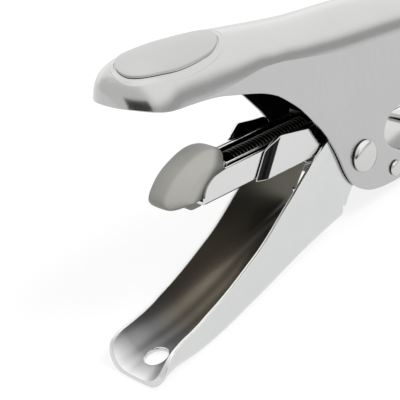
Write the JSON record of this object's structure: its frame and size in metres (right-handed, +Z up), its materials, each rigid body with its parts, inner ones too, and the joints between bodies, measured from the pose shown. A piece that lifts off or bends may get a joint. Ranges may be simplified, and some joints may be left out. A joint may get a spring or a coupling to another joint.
{
  "type": "plier stapler",
  "caption": "Hand-held stapling pliers: two pressed steel handles, a rear-loading magazine with a plastic end cap between them, and a lower jaw with an anvil.",
  "frame": {"origin": "centre of the bounding box's bottom face, on the surface that the tool stands on", "axes": "+X forward, from the handles' ends to the jaws; +Y to the tool's left, along the main pin; +Z up, with the palm handle on top"},
  "size_m": [0.1632, 0.0304, 0.0903],
  "materials": {
    "satin_steel": "satin",
    "polished_steel": "polished",
    "chromed_steel": "polished",
    "rivet_steel": "polished",
    "spring_steel": "satin",
    "staple_wire": "satin",
    "grey_plastic": "matte"
  },
  "bodies": {
    "upper": {"upper_shell": "satin_steel", "palm_inlay": "satin_steel", "anvil_arm": "satin_steel", "anvil_plate": "polished_steel", "anvil_rivet_rear": "rivet_steel", "anvil_rivet_front": "rivet_steel", "pivot_pin": "rivet_steel", "arm_rivet_right_rear": "rivet_steel", "arm_rivet_left_rear": "rivet_steel", "arm_rivet_right_front": "rivet_steel", "arm_rivet_left_front": "rivet_steel", "lift_spring": "spring_steel"},
    "magazine": {"magazine_channel": "chromed_steel", "magazine_saddle": "chromed_steel", "nose_plate": "chromed_steel", "staple_strip": "staple_wire", "return_spring": "spring_steel"},
    "lever": {"lower_lever": "polished_steel"},
    "driver": {"driver_blade": "spring_steel"},
    "follower": {"end_cap": "grey_plastic", "follower_rail": "chromed_steel", "spring_rod": "spring_steel", "rod_stop": "polished_steel", "follower_spring": "spring_steel"},
    "pusher": {"pusher": "polished_steel"}
  },
  "joints": [
    {"name": "jaw_close", "type": "hinge", "parent": "upper", "child": "magazine", "pos_m": [0.01535, 0, 0.02188], "axis": [0, 1, 0], "range_deg": [0, 11.5], "stiffness_Nm_per_rad": 1.2, "springref_deg": -20.05, "deforming": ["lift_spring"]},
    {"name": "drive_stroke", "type": "hinge", "parent": "magazine", "child": "lever", "pos_m": [0.01535, 0, 0.02188], "axis": [0, 1, 0], "range_deg": [0, 11.5], "stiffness_Nm_per_rad": 1.2, "springref_deg": -20.05, "deforming": ["return_spring"]},
    {"name": "driver_slide", "type": "slide", "parent": "magazine", "child": "driver", "axis": [-0.1968, 0, -0.9804], "range_m": [0, 0.0101]},
    {"name": "loading_pull", "type": "slide", "parent": "magazine", "child": "follower", "axis": [-0.9804, 0, 0.1968], "range_m": [0, 0.095]},
    {"name": "pusher_slide", "type": "slide", "parent": "follower", "child": "pusher", "axis": [-0.9804, 0, 0.1968], "range_m": [0, 0.019], "stiffness_N_per_m": 120, "springref_m": -0.02, "deforming": ["follower_spring"]}
  ],
  "couplings": [
    {"joint": "driver_slide", "follows": "drive_stroke", "m_per_rad": 0.048852}
  ]
}
